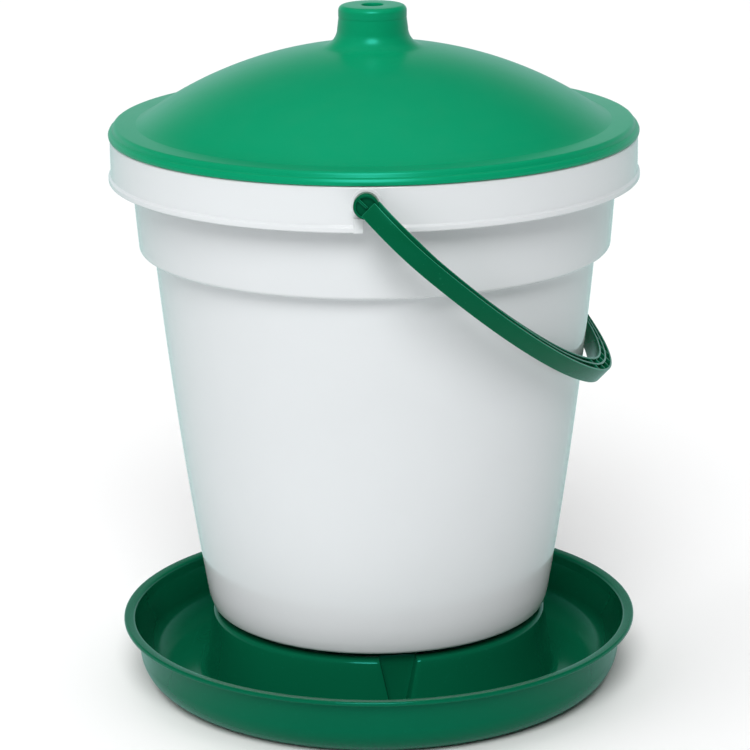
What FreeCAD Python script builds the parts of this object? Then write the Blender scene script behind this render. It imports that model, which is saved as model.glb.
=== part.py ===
import FreeCAD, Part
import math
import os

# Gravity poultry feeder, 18 litre pail size. Millimetres, +Z up.
# Origin: centre of the footprint, on the floor. The bail pivots lie on the Y axis direction,
# and the bail hangs down on the +X side.

# ---- driving dimensions ----
wall = 2.5                  # moulded wall thickness of lid, bucket and tray

trayRimR = 176.6            # outer radius of the tray's rolled lip
trayHeight = 45.0
trayLipWidth = 7.6
trayWallTopR = 171.0        # outer face of the wall just under the lip
trayWallLowR = 166.5
trayBaseR = 143.0           # edge of the flat the tray stands on
trayBendZ = 23.0            # where the wall turns into the base

dishInnerR = 128.0          # where the dish's floor meets the foot of the seat ring
wellFloorR = 96.0           # where the well's floor meets the inside foot of the seat ring
notchSector = 9.5           # half angle of the stretch of ring that holds a feed notch, degrees
arcsBetween = 2             # stretches of plain ring between two notches
seatTopZ = 49.0             # top of the raised seat ring in the tray
seatOuterR = 114.7
seatInnerR = 103.0
seatDraft = math.tan(math.radians(7.5))
seatRound = 3.0
wellInnerDraft = 0.09

notchCount = 3
notchFirstAngle = -82.0     # direction of the first feed notch, degrees from +X
notchTopWidth = 25.4
notchSlope = 0.152          # narrowing on each side per mm of depth
notchFloorZ = 4.0
outletWidth = 11.0
outletHeight = 15.0

bossTopZ = 40.0             # central pedestal that carries the bucket
bossTopR = 24.0
bossFootR = 31.0

bucketBottomZ = 53.0
bucketFloorZ = 56.0         # underside of the floor
bucketFootR = 112.0
bodyLowR = 117.3
bodyLowZ = 62.0
bodyMidR = 135.3
bodyMidZ = 188.0
bodyTopR = 147.8
bandZ = 305.0               # lower edge of the stacking band
bandLowR = 157.5
bandTopR = 161.0
flangeZ = 352.0
flangeR = 176.5
flangeHeight = 4.5
rimR = 175.0
rimZ = 381.0
rimWallR = 162.0            # outer face of the wall inside the rim channel

windowCount = 6             # feed windows in the bucket's floor
windowInnerR = 74.0
windowOuterR = 102.0
windowAngle = 40.0

pivotZ = 370.4
pivotHoleR = 3.0
earBossR = 11.5
earFaceY = 176.6
earSlotWidth = 4.4
earRibWidth = 6.0
earRibTopZ = 361.0

lidSeatZ = 381.2            # underside of the lid's outer skirt
lidLipR = 176.0
lidShoulderR = 173.2
lidLedgeZ = 389.5
lidLedgeInR = 158.6
lidLedgeOutR = 169.5
domeR = 268.0
domeCentreZ = 171.5
plugR = 157.8
plugZ = 371.0
knobR = 22.6
knobRootR = 23.3
knobTopZ = 465.0
knobRound = 4.6
knobFillet = 13.0
socketR = 7.25
socketDepth = 19.0

bailHang = 44.2             # angle below the horizontal at rest
bailReach = 217.0           # from the pivot axis to the outside of the grip
gripRadius = 153.0
sideRadius = 246.0
shoulderRadius = 68.0
gripAngle = 26.0
sideAngle = 72.0
endAngle = 120.0
bailWidth = 11.6
flangeThickness = 1.5
webThickness = 1.8
midInset = (2.6, 5.4)       # inset of the middle flange at the pivot and at the grip
innerInset = (4.8, 10.4)
gripRibAngles = (3.5, 10.5, 17.5, 24.5)
discR = 8.0
discInnerY = 177.2
discOuterY = 185.6
studR = 2.95
studEndY = 167.0
barbR = 3.7

coneBaseR = 70.0
coneWall = 2.2
coneTopR = 14.0
coneTopZ = 110.0

boltR = 3.95
boltHoleR = 4.3
boltEndZ = 127.0
headAcrossFlats = 13.0
headHeight = 5.3
washerR = 12.0
washerThickness = 1.6
spacerR = 13.0
nutHubR = 7.5
nutHubHeight = 9.0
wingSpan = 19.0
wingHeight = 15.0
wingThickness = 3.4

Vec = FreeCAD.Vector
up = Vec(0, 0, 1)
origin = Vec(0, 0, 0)


def outline(start, steps):
    """Closed wire in the XZ plane. A step is an end point, or a pair (point on an arc, end point)."""
    def at(p):
        return Vec(p[0], 0, p[1])
    edges = []
    here = start
    for step in steps + [start]:
        if isinstance(step[0], tuple):
            through, end = step
            edges.append(Part.Arc(at(here), at(through), at(end)).toShape())
        else:
            end = step
            edges.append(Part.makeLine(at(here), at(end)))
        here = end
    return Part.Wire(edges)


def turned(start, steps):
    face = Part.Face(outline(start, steps))
    return face.revolve(origin, up, 360)


def onCircle(cx, cz, r, degrees):
    a = math.radians(degrees)
    return (cx + r * math.cos(a), cz + r * math.sin(a))


def cylinder(r, z0, z1):
    return Part.makeCylinder(r, z1 - z0, Vec(0, 0, z0))


def aroundZ(shape, degrees):
    turnedShape = shape.copy()
    turnedShape.rotate(origin, up, degrees)
    return turnedShape


def bodyRadius(z):
    """Outer radius of the bucket's slightly bellied wall at height z."""
    t = (z - bodyLowZ) / (bandZ - bodyLowZ)
    chord = bodyLowR + (bodyTopR - bodyLowR) * t
    tMid = (bodyMidZ - bodyLowZ) / (bandZ - bodyLowZ)
    belly = bodyMidR - (bodyLowR + (bodyTopR - bodyLowR) * tMid)
    return chord + 4 * belly * t * (1 - t)


# ---- tray ----

def trayShell():
    bend = trayBendZ
    foot = seatOuterR + (seatTopZ - wall) * seatDraft
    wellR = seatInnerR - (seatTopZ - wall) * wellInnerDraft
    lipIn = trayRimR - trayLipWidth
    outer = [
        (trayBaseR, 0),
        (onCircle(trayBaseR, bend, bend, -45), (trayWallLowR - 0.5, bend)),
        (trayWallTopR, trayHeight - 6.5),
        (trayRimR - 1.5, trayHeight - 6.5),
        ((trayRimR, trayHeight - 4.5), (trayRimR - 0.3, trayHeight - 2.6)),
        ((trayRimR - 3.4, trayHeight), (lipIn + 1.2, trayHeight - 1.0)),
        (lipIn - 0.6, trayHeight - 5.5),
        (trayWallLowR - 0.5 - wall, bend),
        (onCircle(trayBaseR, bend, bend - wall, -45), (trayBaseR, wall)),
    ]
    seat = [
        (foot + 5.0, wall),
        ((foot + 1.3, wall + 1.6), (foot - 0.7, wall + 6.0)),
        (seatOuterR + seatRound * seatDraft, seatTopZ - seatRound),
        (onCircle(seatOuterR - seatRound, seatTopZ - seatRound, seatRound, 45), (seatOuterR - seatRound, seatTopZ)),
        (seatInnerR + 1.5, seatTopZ),
        (onCircle(seatInnerR + 1.5, seatTopZ - 1.5, 1.5, 135), (seatInnerR, seatTopZ - 1.5)),
        (wellR, wall),
        (bossFootR, wall),
        (bossTopR, bossTopZ),
        (boltHoleR, bossTopZ),
    ]
    under = [
        (boltHoleR, bossTopZ - wall),
        (bossTopR - wall, bossTopZ - wall),
        (bossFootR - wall, 0),
        (wellR + wall, 0),
        (seatInnerR + wall, seatTopZ - wall),
        (seatOuterR - wall - 0.5, seatTopZ - wall),
        (foot - wall, 0),
    ]
    return turned(under[-1], outer + seat + under[:-1])


def notchSection(topZ, topHalf, r0, r1, lowZ):
    """V-shaped prism along +X, between radii r0 and r1, open at topZ."""
    lowHalf = topHalf - (seatTopZ - lowZ) * notchSlope
    upperHalf = topHalf + (topZ - seatTopZ) * notchSlope
    corners = [Vec(r0, -lowHalf, lowZ), Vec(r0, lowHalf, lowZ), Vec(r0, upperHalf, topZ), Vec(r0, -upperHalf, topZ)]
    face = Part.Face(Part.makePolygon(corners + corners[:1]))
    return face.extrude(Vec(r1 - r0, 0, 0))


def trayMoulding():
    """Dish, seat ring and well of the tray, as the one piece they are moulded in."""
    shell = trayShell()
    backR = seatInnerR + wall
    frontR = seatOuterR + seatTopZ * seatDraft + 4
    half = notchTopWidth / 2
    ringBand = cylinder(frontR, 0, seatTopZ - 0.01).cut(cylinder(seatInnerR, 0, seatTopZ))
    for i in range(notchCount):
        angle = notchFirstAngle + i * 360 / notchCount
        lining = notchSection(seatTopZ - 0.01, half + wall, backR - wall, frontR - 6, 0).common(ringBand)
        lining = lining.common(seatEnvelope())
        pocket = notchSection(seatTopZ + 5, half, backR, frontR + 6, notchFloorZ)
        outlet = Part.makeBox(14, outletWidth, outletHeight, Vec(backR - 9, -outletWidth / 2, notchFloorZ))
        shell = shell.fuse(aroundZ(lining, angle))
        shell = shell.cut(aroundZ(pocket, angle)).cut(aroundZ(outlet, angle))
    return shell.removeSplitter()


def sector(startAngle, sweep):
    """Pie slice of the tray's whole height, from startAngle on, in degrees."""
    wedge = Part.makeCylinder(dishInnerR + 1, seatTopZ + 2, Vec(0, 0, -1), Vec(0, 0, 1), sweep)
    return aroundZ(wedge, startAngle)


def trayNodes():
    """The tray moulding parted into dish, well floor, three feed notches and the ring's arcs between."""
    whole = trayMoulding()
    outer = cylinder(dishInnerR, -1, seatTopZ + 1)
    inner = cylinder(wellFloorR, -1, seatTopZ + 1)
    ring = whole.common(outer).cut(inner)
    nodes = {"tray": whole.cut(outer), "well_floor": whole.common(inner)}
    pitch = 360 / notchCount
    for i in range(notchCount):
        start = notchFirstAngle + i * pitch - notchSector
        nodes[f"feed_notch_{i + 1}"] = ring.common(sector(start, 2 * notchSector))
        arcStart = start + 2 * notchSector
        arcSweep = (pitch - 2 * notchSector) / arcsBetween
        for j in range(arcsBetween):
            name = f"seat_arc_{i * arcsBetween + j + 1}"
            nodes[name] = ring.common(sector(arcStart + j * arcSweep, arcSweep))
    return nodes


def seatEnvelope():
    """The seat ring as if it were not hollow, to trim the notch linings."""
    foot = seatOuterR + (seatTopZ - wall) * seatDraft
    wellR = seatInnerR - (seatTopZ - wall) * wellInnerDraft
    return turned((wellR, 0), [
        (foot, 0),
        (seatOuterR + seatRound * seatDraft, seatTopZ - seatRound),
        (seatOuterR - seatRound, seatTopZ),
        (seatInnerR + 1.5, seatTopZ),
        (seatInnerR, seatTopZ - 1.5),
    ])


# ---- bucket ----

def bucketShell():
    midOut = (bodyRadius(bodyMidZ), bodyMidZ)
    midIn = (bodyRadius(bodyMidZ) - wall, bodyMidZ)
    skirtIn = rimR - wall
    outer = [
        (bucketFootR - 6, bucketFloorZ),
        (bucketFootR - 4, bucketBottomZ),
        (bucketFootR, bucketBottomZ),
        ((bucketFootR + 3.7, bucketBottomZ + 2.6), (bodyLowR, bodyLowZ)),
        (midOut, (bodyTopR, bandZ)),
        (bandLowR - 1.5, bandZ),
        (onCircle(bandLowR - 1.5, bandZ + 1.5, 1.5, -45), (bandLowR, bandZ + 1.5)),
        (bandTopR, flangeZ - 2),
        (rimWallR, rimZ - wall),
        (skirtIn, rimZ - wall),
        (skirtIn, flangeZ),
        (flangeR - 0.6, flangeZ),
        (onCircle(flangeR - 0.6, flangeZ + 0.6, 0.6, -45), (flangeR, flangeZ + 0.6)),
        (flangeR, flangeZ + flangeHeight - 1.5),
        (rimR, flangeZ + flangeHeight),
        (rimR, rimZ - 2),
        (onCircle(rimR - 2, rimZ - 2, 2, 45), (rimR - 2, rimZ)),
        (rimWallR - 1.0, rimZ),
        ((rimWallR - 2.1, rimZ - 0.6), (rimWallR - wall, rimZ - 2)),
        (bandTopR - wall, flangeZ - 2),
        (bandLowR - wall, bandZ + wall),
        (bodyTopR - wall, bandZ + wall),
        (bodyTopR - wall, bandZ),
        (midIn, (bodyLowR - wall, bodyLowZ)),
        (bucketFootR - 1, bucketFloorZ + wall),
        (0, bucketFloorZ + wall),
    ]
    return turned((0, bucketFloorZ), outer)


def feedWindow():
    """Curved slot through the floor, centred on +X."""
    ring = cylinder(windowOuterR, bucketBottomZ, bodyLowZ).cut(cylinder(windowInnerR, bucketBottomZ, bodyLowZ))
    far = windowOuterR * 2
    a = math.radians(windowAngle / 2)
    side = Vec(far * math.cos(a), far * math.sin(a), bucketBottomZ)
    other = Vec(side.x, -side.y, bucketBottomZ)
    centre = Vec(0, 0, bucketBottomZ)
    wedge = Part.Face(Part.makePolygon([centre, other, side, centre])).extrude(Vec(0, 0, bodyLowZ - bucketBottomZ))
    return ring.common(wedge)


def ear(shell, side):
    """Thickened pivot ear in the rim: round boss, hole, and the slot the stud snaps up through."""
    out = Vec(0, side, 0)
    skirtIn = rimR - wall
    backY = skirtIn - 1.5
    boss = Part.makeCylinder(earBossR, earFaceY - backY, Vec(0, side * backY, pivotZ), out)
    ribs = Part.makeBox(earSlotWidth + 2 * earRibWidth, earFaceY - backY, earRibTopZ - flangeZ,
                        Vec(-earSlotWidth / 2 - earRibWidth, min(side * backY, side * earFaceY), flangeZ))
    bossTrim = Part.makeBox(60, 60, rimZ - wall - flangeZ, Vec(-30, side * rimR - 30, flangeZ))
    hole = Part.makeCylinder(pivotHoleR, 20, Vec(0, side * (backY - 5), pivotZ), out)
    slot = Part.makeBox(earSlotWidth, 20, pivotZ - flangeZ + 10,
                        Vec(-earSlotWidth / 2, side * (backY + 5) - 10, flangeZ - 10))
    shell = shell.fuse(boss.common(bossTrim)).fuse(ribs)
    return shell.cut(hole).cut(slot)


def bucket():
    shell = bucketShell().cut(cylinder(boltHoleR, bucketBottomZ - 1, bodyLowZ))
    window = feedWindow()
    for i in range(windowCount):
        shell = shell.cut(aroundZ(window, (i + 0.5) * 360 / windowCount))
    for side in (-1, 1):
        shell = ear(shell, side)
    return shell.removeSplitter()


# ---- lid ----

def domeHeight(r, sphereR):
    return domeCentreZ + math.sqrt(sphereR ** 2 - r ** 2)


def lid():
    filletX = knobRootR + knobFillet
    filletZ = domeCentreZ + math.sqrt((domeR + knobFillet) ** 2 - filletX ** 2)
    meet = domeR / (domeR + knobFillet)
    domeStart = (filletX * meet, domeCentreZ + (filletZ - domeCentreZ) * meet)
    domeEndR = lidLedgeInR - 4.0
    innerDome = domeR - wall
    innerRoot = knobR - wall - 0.8
    innerEndR = plugR - wall
    sleeveR = socketR + wall
    outer = [
        (knobR - knobRound, knobTopZ),
        (onCircle(knobR - knobRound, knobTopZ - knobRound, knobRound, 45), (knobR, knobTopZ - knobRound)),
        (knobRootR, filletZ),
        (onCircle(filletX, filletZ, knobFillet, 220), domeStart),
        ((90, domeHeight(90, domeR)), (domeEndR, domeHeight(domeEndR, domeR))),
        ((lidLedgeInR - 1.9, lidLedgeZ + 0.25), (lidLedgeInR, lidLedgeZ)),
        (lidLedgeOutR, lidLedgeZ),
        ((lidShoulderR - 0.9, lidLedgeZ - 1.1), (lidShoulderR, lidLedgeZ - 3.4)),
        ((lidLipR - 0.7, lidLedgeZ - 4.6), (lidLipR, lidLedgeZ - 6.8)),
        (lidLipR - 0.4, lidSeatZ),
    ]
    inner = [
        (lidShoulderR - 0.7, lidSeatZ),
        (lidShoulderR - wall, lidLedgeZ - wall - 1.5),
        (lidLedgeOutR - 1.0, lidLedgeZ - wall),
        (plugR, lidLedgeZ - wall),
        (plugR - 0.5, plugZ),
        (plugR - wall, plugZ),
        (innerEndR, domeHeight(innerEndR, innerDome)),
        ((90, domeHeight(90, innerDome)), (innerRoot + 8, domeHeight(innerRoot + 8, innerDome))),
        (innerRoot, filletZ - 6),
        (innerRoot - 0.5, knobTopZ - wall - 1.0),
        (sleeveR, knobTopZ - wall - 1.0),
        (sleeveR, knobTopZ - socketDepth - wall),
        (0, knobTopZ - socketDepth - wall),
        (0, knobTopZ - socketDepth),
        (socketR, knobTopZ - socketDepth),
        (socketR, knobTopZ - 0.6),
    ]
    return turned((socketR + 0.6, knobTopZ), outer + inner)


# ---- bail, made flat with its reach along +X and the pivot axis on Y, then swung down ----

def bailPoint(angle, inset):
    """Point of the bail's curve: grip arc, side arc and shoulder arc run on tangentially."""
    def centreAfter(centre, r0, r1, degrees):
        return onCircle(centre[0], centre[1], r0 - r1, degrees)
    grip = (bailReach - gripRadius, 0.0)
    sideC = centreAfter(grip, gripRadius, sideRadius, gripAngle)
    shoulder = centreAfter(sideC, sideRadius, shoulderRadius, sideAngle)
    if angle <= gripAngle:
        return onCircle(grip[0], grip[1], gripRadius - inset, angle)
    if angle <= sideAngle:
        return onCircle(sideC[0], sideC[1], sideRadius - inset, angle)
    return onCircle(shoulder[0], shoulder[1], shoulderRadius - inset, angle)


def insetAt(angle, insets):
    atPivot, atGrip = insets
    t = max(0.0, min(1.0, (angle - gripAngle) / (endAngle - gripAngle)))
    return atGrip + (atPivot - atGrip) * t


def bailCurve(insets, extra):
    """Edges of the whole curve, from the -Y end to the +Y end."""
    def at(angle, side):
        p = bailPoint(angle, insetAt(angle, insets) + extra)
        return Vec(p[0], side * p[1], 0)
    spans = [(endAngle, sideAngle), (sideAngle, gripAngle)]
    left = [Part.Arc(at(a, -1), at((a + b) / 2, -1), at(b, -1)).toShape() for a, b in spans]
    right = [Part.Arc(at(b, 1), at((a + b) / 2, 1), at(a, 1)).toShape() for a, b in reversed(spans)]
    middle = [Part.Arc(at(gripAngle, -1), at(0, 1), at(gripAngle, 1)).toShape()]
    return left + middle + right


def bailBand(insets, depth, width):
    """Ribbon of the given depth in the bail's plane, and width across it."""
    outerEdges = bailCurve(insets, 0)
    innerInsets = (insets[0] + depth[0], insets[1] + depth[1])
    innerEdges = bailCurve(innerInsets, 0)
    a0 = outerEdges[0].firstVertex(True).Point
    a1 = outerEdges[-1].lastVertex(True).Point
    b0 = innerEdges[0].firstVertex(True).Point
    b1 = innerEdges[-1].lastVertex(True).Point
    wire = Part.Wire(Part.__sortEdges__(outerEdges + [Part.makeLine(a1, b1)] + innerEdges + [Part.makeLine(b0, a0)]))
    band = Part.Face(wire).extrude(Vec(0, 0, width))
    band.translate(Vec(0, 0, -width / 2))
    return band


def gripRib(angle, side):
    """Thin cross rib between the outer and the inner flange."""
    depth = innerInset[1]
    bar = Part.makeBox(depth, 1.4, bailWidth - 0.8, Vec(-depth - 0.4, -0.7, -(bailWidth - 0.8) / 2))
    bar.rotate(origin, up, side * angle)
    p = bailPoint(angle, 0)
    bar.translate(Vec(p[0], side * p[1], 0))
    return bar


def bailEnd(side):
    """Round head with its recess, cross rib and the snap stud that turns in the ear."""
    out = Vec(0, side, 0)
    head = Part.makeCylinder(discR, discOuterY - discInnerY, Vec(0, side * discInnerY, 0), out)
    recess = Part.makeCylinder(discR - 1.8, 2.4, Vec(0, side * (discOuterY - 2.4), 0), out)
    crossRib = Part.makeBox(1.6, 2.4, 2 * discR - 2, Vec(-3.4, min(side * discOuterY, side * (discOuterY - 2.4)),
                                                         -discR + 1))
    stud = Part.makeCylinder(studR, discInnerY - studEndY, Vec(0, side * studEndY, 0), out)
    barb = Part.makeCylinder(barbR, 2.0, Vec(0, side * studEndY, 0), out)
    return head.cut(recess).fuse(crossRib).fuse(stud).fuse(barb)


def bail():
    flat = (flangeThickness, flangeThickness)
    whole = bailBand((0, 0), flat, bailWidth)
    whole = whole.fuse(bailBand(midInset, flat, bailWidth - 0.6))
    whole = whole.fuse(bailBand(innerInset, flat, bailWidth))
    whole = whole.fuse(bailBand((0.5, 0.5), (innerInset[0], innerInset[1]), webThickness))
    for side in (-1, 1):
        for angle in gripRibAngles:
            whole = whole.fuse(gripRib(angle, side))
        whole = whole.fuse(bailEnd(side))
    whole = whole.removeSplitter()
    whole.rotate(origin, Vec(0, 1, 0), bailHang)
    whole.translate(Vec(0, 0, pivotZ))
    return whole


# ---- inside: feed cone and the centre fixing ----

def feedCone():
    z0 = bucketFloorZ + wall
    return turned((coneBaseR, z0), [
        (coneBaseR, z0 + coneWall),
        (coneBaseR - 4, z0 + coneWall),
        (coneTopR, coneTopZ),
        (boltHoleR, coneTopZ),
        (boltHoleR, coneTopZ - coneWall),
        (coneTopR - 1.2, coneTopZ - coneWall),
        (coneBaseR - 7, z0),
    ])


def spacerSleeve():
    return cylinder(spacerR, bossTopZ, bucketFloorZ).cut(cylinder(boltHoleR, bossTopZ, bucketFloorZ))


def hexPrism(acrossFlats, z0, height):
    r = acrossFlats / math.sqrt(3)
    corners = [Vec(r * math.cos(math.radians(60 * i)), r * math.sin(math.radians(60 * i)), z0) for i in range(7)]
    return Part.Face(Part.makePolygon(corners)).extrude(Vec(0, 0, height))


def tieBolt():
    headTop = bossTopZ - wall - washerThickness
    shank = cylinder(boltR, headTop - 1, boltEndZ - 1)
    tip = Part.makeCone(boltR, boltR - 1, 1, Vec(0, 0, boltEndZ - 1))
    return hexPrism(headAcrossFlats, headTop - headHeight, headHeight).fuse(shank).fuse(tip).removeSplitter()


def washer(z0):
    return cylinder(washerR, z0, z0 + washerThickness).cut(cylinder(boltHoleR, z0, z0 + washerThickness))


def wingNut():
    z0 = coneTopZ + washerThickness
    hub = Part.makeCone(nutHubR, nutHubR - 1.5, nutHubHeight, Vec(0, 0, z0))
    whole = hub
    for side in (-1, 1):
        corners = [(3, 1), (nutHubR, 0.5), (wingSpan - 3, wingHeight - 7), (wingSpan, wingHeight - 2),
                   (wingSpan - 2, wingHeight), (wingSpan - 7, wingHeight - 1), (3, nutHubHeight - 1)]
        points = [Vec(side * x, -wingThickness / 2, z0 + z) for x, z in corners]
        wing = Part.Face(Part.makePolygon(points + points[:1])).extrude(Vec(0, wingThickness, 0))
        whole = whole.fuse(wing)
    return whole.cut(cylinder(boltR + 0.05, z0 - 1, z0 + wingHeight + 1)).removeSplitter()


def nodes():
    return {
        **trayNodes(),
        "bucket": bucket(),
        "lid": lid(),
        "bail": bail(),
        "feed_cone": feedCone(),
        "spacer_sleeve": spacerSleeve(),
        "tie_bolt": tieBolt(),
        "base_washer": washer(bossTopZ - wall - washerThickness),
        "cone_washer": washer(coneTopZ),
        "wing_nut": wingNut(),
    }


os.makedirs("parts", exist_ok=True)
for name, shape in nodes().items():
    box = shape.BoundBox
    print(name, "valid", shape.isValid(), "solids", len(shape.Solids), "cm3", round(shape.Volume / 1000, 1),
          "x", round(box.XMin, 1), round(box.XMax, 1), "y", round(box.YMin, 1), round(box.YMax, 1),
          "z", round(box.ZMin, 1), round(box.ZMax, 1))
    if len(shape.Solids) == 1:
        shape = shape.Solids[0]
    shape.exportStep("parts/" + name + ".step")
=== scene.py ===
import bpy
import bmesh
import math
from mathutils import Matrix, Vector, kdtree


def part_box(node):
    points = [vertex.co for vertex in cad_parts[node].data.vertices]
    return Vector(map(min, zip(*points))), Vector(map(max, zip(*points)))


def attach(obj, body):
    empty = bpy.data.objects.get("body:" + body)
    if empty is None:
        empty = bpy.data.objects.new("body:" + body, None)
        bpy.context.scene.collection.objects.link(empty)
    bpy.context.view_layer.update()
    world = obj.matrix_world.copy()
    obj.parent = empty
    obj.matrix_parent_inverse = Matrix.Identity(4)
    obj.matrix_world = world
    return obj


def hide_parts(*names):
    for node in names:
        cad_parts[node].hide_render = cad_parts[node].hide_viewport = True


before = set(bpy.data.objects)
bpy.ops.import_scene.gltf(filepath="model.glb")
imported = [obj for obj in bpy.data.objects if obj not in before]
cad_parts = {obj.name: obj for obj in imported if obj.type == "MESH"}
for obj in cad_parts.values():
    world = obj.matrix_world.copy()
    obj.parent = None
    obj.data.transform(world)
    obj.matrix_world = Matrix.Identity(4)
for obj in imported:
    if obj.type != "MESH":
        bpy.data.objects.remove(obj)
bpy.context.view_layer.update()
mm = 0.001
turnSteps = 240  # columns round a turned piece
cornerStep = 15.0  # degrees of a rounded corner taken by one edge
bentAngle = 1.0  # radians between two faces, past which their edge counts as a corner
mergeGap = 0.01  # mm, vertices closer than this are one
print("frame loaded:", ", ".join(sorted(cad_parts)))


def roundedLine(corners, closed):
    # each corner is (x, z) or (x, z, radius), in mm
    points = []
    count = len(corners)
    for i, corner in enumerate(corners):
        here = Vector(corner[:2])
        radius = corner[2] if len(corner) > 2 else 0.0
        atEnd = not closed and i in (0, count - 1)
        if radius == 0.0 or atEnd:
            points.append(here)
            continue
        back = Vector(corners[i - 1][:2]) - here
        ahead = Vector(corners[(i + 1) % count][:2]) - here
        half = back.angle(ahead) / 2
        reach = min(radius / math.tan(half), back.length * 0.49, ahead.length * 0.49)
        radius = reach * math.tan(half)
        centre = here + (back.normalized() + ahead.normalized()).normalized() * (radius / math.sin(half))
        first = here + back.normalized() * reach - centre
        last = here + ahead.normalized() * reach - centre
        sweep = first.angle(last)
        steps = max(2, round(math.degrees(sweep) / cornerStep))
        for k in range(steps + 1):
            a = sweep * k / steps
            points.append(centre + (first * math.sin(sweep - a) + last * math.sin(a)) / math.sin(sweep))
    return points


def arcLine(cx, cz, radius, fromDeg, toDeg, steps):
    line = []
    for k in range(steps + 1):
        a = math.radians(fromDeg + (toDeg - fromDeg) * k / steps)
        line.append((cx + radius * math.cos(a), cz + radius * math.sin(a)))
    return line


def turnedMesh(points, closed, steps=turnSteps):
    bm = bmesh.new()
    verts = [bm.verts.new((p[0] * mm, 0, p[1] * mm)) for p in points]
    edges = [bm.edges.new(pair) for pair in zip(verts, verts[1:])]
    if closed:
        edges.append(bm.edges.new((verts[-1], verts[0])))
    bmesh.ops.spin(bm, geom=verts + edges, cent=(0, 0, 0), axis=(0, 0, 1), dvec=(0, 0, 0),
                   angle=math.tau, steps=steps, use_merge=True, use_duplicate=False)
    bmesh.ops.remove_doubles(bm, verts=bm.verts, dist=0.002 * mm)
    bmesh.ops.recalc_face_normals(bm, faces=bm.faces)
    return bm


def bevelEdges(bm, edges, offset, segments):
    return bmesh.ops.bevel(bm, geom=edges, offset=offset * mm, segments=segments, profile=0.5, affect="EDGES",
                           material=-1)


def bentEdges(bm):
    return [e for e in bm.edges if e.calc_face_angle(0.0) > bentAngle]


def turnMesh(bm, degrees, axis):
    turn = Matrix.Rotation(math.radians(degrees), 3, axis)
    bmesh.ops.rotate(bm, cent=(0, 0, 0), matrix=turn, verts=bm.verts)


def moveMesh(bm, x, y, z):
    bmesh.ops.translate(bm, vec=(x * mm, y * mm, z * mm), verts=bm.verts)


def boxMesh(low, high):
    bm = bmesh.new()
    bmesh.ops.create_cube(bm, size=1)
    size = [(b - a) * mm for a, b in zip(low, high)]
    middle = [(a + b) / 2 * mm for a, b in zip(low, high)]
    bmesh.ops.scale(bm, vec=size, verts=bm.verts)
    bmesh.ops.translate(bm, vec=middle, verts=bm.verts)
    return bm


def rodMesh(radius, start, end, axis, bevel=0.0, segments=64):
    # round rod along X, Y or Z through the origin, from start to end
    bm = bmesh.new()
    bmesh.ops.create_cone(bm, cap_ends=True, segments=segments, radius1=radius * mm, radius2=radius * mm,
                          depth=abs(end - start) * mm)
    if bevel:
        bevelEdges(bm, bentEdges(bm), bevel, 3)
    moveMesh(bm, 0, 0, (start + end) / 2)
    if axis != "Z":
        turnMesh(bm, *{"X": (90, "Y"), "Y": (-90, "X")}[axis])
    return bm


def addTo(bm, other):
    # moves the other bmesh's shells into bm
    mesh = bpy.data.meshes.new("part")
    other.to_mesh(mesh)
    other.free()
    bm.from_mesh(mesh)
    bpy.data.meshes.remove(mesh)


def looseObject(bm, name):
    mesh = bpy.data.meshes.new(name)
    bm.to_mesh(mesh)
    bm.free()
    thing = bpy.data.objects.new(name, mesh)
    bpy.context.scene.collection.objects.link(thing)
    return thing


def carve(piece, tools):
    # tools are (operation, bmesh) pairs, worked one after another
    for operation, toolMesh in tools:
        tool = looseObject(toolMesh, "tool")
        step = piece.modifiers.new("carve", "BOOLEAN")
        step.operation = operation
        step.solver = "EXACT"
        step.object = tool
        done = bpy.data.meshes.new_from_object(piece.evaluated_get(bpy.context.evaluated_depsgraph_get()))
        piece.modifiers.clear()
        piece.data = done
        bpy.data.objects.remove(tool)
    bm = bmesh.new()
    bm.from_mesh(piece.data)
    bmesh.ops.remove_doubles(bm, verts=bm.verts, dist=mergeGap * mm)
    bm.to_mesh(piece.data)
    bm.free()


def finishPiece(piece, name, body, nodes, material, sharpAngle=34.0):
    bm = bmesh.new()
    bm.from_mesh(piece.data)
    for face in bm.faces:
        face.smooth = True
    for edge in bm.edges:
        edge.smooth = edge.calc_face_angle(0.0) < math.radians(sharpAngle)
    bm.to_mesh(piece.data)
    bm.free()
    piece.name = name
    piece.data.name = name
    piece.data.materials.clear()
    piece.data.materials.append(material)
    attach(piece, body)
    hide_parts(*nodes)
    print("made", name, len(piece.data.polygons), "faces")
    return piece


def addNode(tree, kind, **values):
    node = tree.nodes.new(kind)
    for key, value in values.items():
        if hasattr(node, key):
            setattr(node, key, value)
        else:
            node.inputs[key.replace("_", " ")].default_value = value
    return node


def newGroup(name, inputs, outputs):
    group = bpy.data.node_groups.new(name, "ShaderNodeTree")
    for label, kind, value in inputs:
        socket = group.interface.new_socket(label, in_out="INPUT", socket_type=kind)
        socket.default_value = value
    for label, kind in outputs:
        group.interface.new_socket(label, in_out="OUTPUT", socket_type=kind)
    return group, group.nodes.new("NodeGroupInput"), group.nodes.new("NodeGroupOutput")


def ranged(tree, source, low, high, toLow, toHigh):
    node = tree.nodes.new("ShaderNodeMapRange")
    tree.links.new(source, node.inputs["Value"])
    for label, value in (("From Min", low), ("From Max", high), ("To Min", toLow), ("To Max", toHigh)):
        node.inputs[label].default_value = value
    return node.outputs["Result"]


def maths(tree, operation, a, b):
    node = tree.nodes.new("ShaderNodeMath")
    node.operation = operation
    for socket, value in zip(node.inputs, (a, b)):
        if isinstance(value, (int, float)):
            socket.default_value = value
        else:
            tree.links.new(value, socket)
    return node.outputs[0]


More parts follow.
